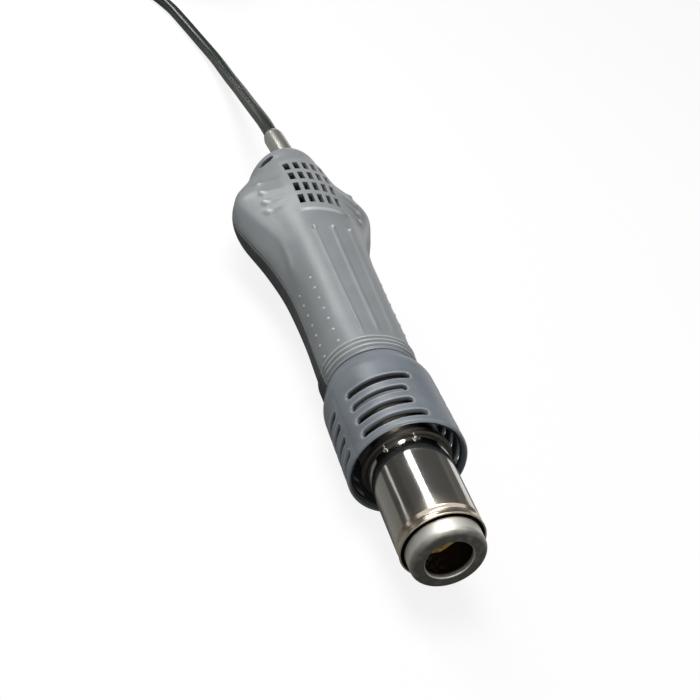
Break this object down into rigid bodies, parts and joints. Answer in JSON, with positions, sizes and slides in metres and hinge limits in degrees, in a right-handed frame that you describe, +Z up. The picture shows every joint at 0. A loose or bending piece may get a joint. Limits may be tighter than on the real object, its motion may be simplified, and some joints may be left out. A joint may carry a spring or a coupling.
{
  "type": "hot air rework handset",
  "caption": "Hot air rework handset: steel heater barrel in a slotted guard, two-shell grip with a blower inside, cord with a round connector.",
  "frame": {"origin": "bottom centre of the handset as it lies on a table, its cord left out", "axes": "+Y along the barrel axis from the nozzle tip to the cord, +Z up through the vent grid, +X to the right seen from the nozzle"},
  "size_m": [0.0766, 0.5048, 0.0365],
  "materials": {
    "housing": "satin moulded grey plastic",
    "black_plastic": "satin black moulding",
    "steel": "polished stainless, slightly heat tinted",
    "nickel": "bright nickel plate",
    "screw_steel": "zinc-plated steel",
    "mica": "golden brown mica sheet",
    "ceramic": "unglazed ceramic",
    "heat_wire": "oxidised heating wire",
    "copper": "enamelled copper windings",
    "board": "green circuit board",
    "glass": "small glass tube",
    "red_wire": "silicone insulation",
    "white_wire": "silicone insulation",
    "cord": "glossy near-black jacket"
  },
  "bodies": {
    "handset": {"upper_shell": "housing", "lower_shell": "housing", "front_guard": "housing", "air_duct": "black_plastic", "blower_casing": "black_plastic", "blower_cover": "black_plastic", "cable_clamp": "black_plastic", "cord_tie": "black_plastic", "connector_insert": "black_plastic", "nozzle_tip": "steel", "barrel_tube": "steel", "thermocouple": "steel", "barrel_collar": "nickel", "cord_ferrule": "nickel", "connector_body": "nickel", "connector_pin_1": "nickel", "connector_pin_2": "nickel", "connector_pin_3": "nickel", "connector_pin_4": "nickel", "connector_pin_5": "nickel", "barrel_screw_1": "screw_steel", "barrel_screw_2": "screw_steel", "barrel_screw_3": "screw_steel", "shell_screw_1": "screw_steel", "shell_screw_2": "screw_steel", "shell_screw_3": "screw_steel", "shell_screw_4": "screw_steel", "blower_screw_1": "screw_steel", "blower_screw_2": "screw_steel", "blower_screw_3": "screw_steel", "clamp_screw_1": "screw_steel", "clamp_screw_2": "screw_steel", "mica_sleeve": "mica", "heater_core": "ceramic", "heater_base": "ceramic", "heater_coil": "heat_wire", "motor_stator": "copper", "blower_board": "board", "terminal_board": "board", "reed_switch": "glass", "heater_lead_1": "red_wire", "heater_lead_2": "red_wire", "sensor_lead": "white_wire", "blower_lead": "white_wire", "cord_stub": "cord", "cord_lead": "cord", "cord_coil": "cord", "cord_tail": "cord"},
    "rotor": {"blower_impeller": "black_plastic", "blower_shaft": "steel"},
    "coupling": {"connector_ring": "nickel"}
  },
  "joints": [
    {"name": "blower_spin", "type": "hinge", "parent": "handset", "child": "rotor", "pos_m": [0, 0.05634, 0.0182], "axis": [0, 0, 1], "continuous": true},
    {"name": "coupling_spin", "type": "hinge", "parent": "handset", "child": "coupling", "pos_m": [-0.0171, 0.35434, 0.0224], "axis": [1, 0, 0], "continuous": true}
  ]
}
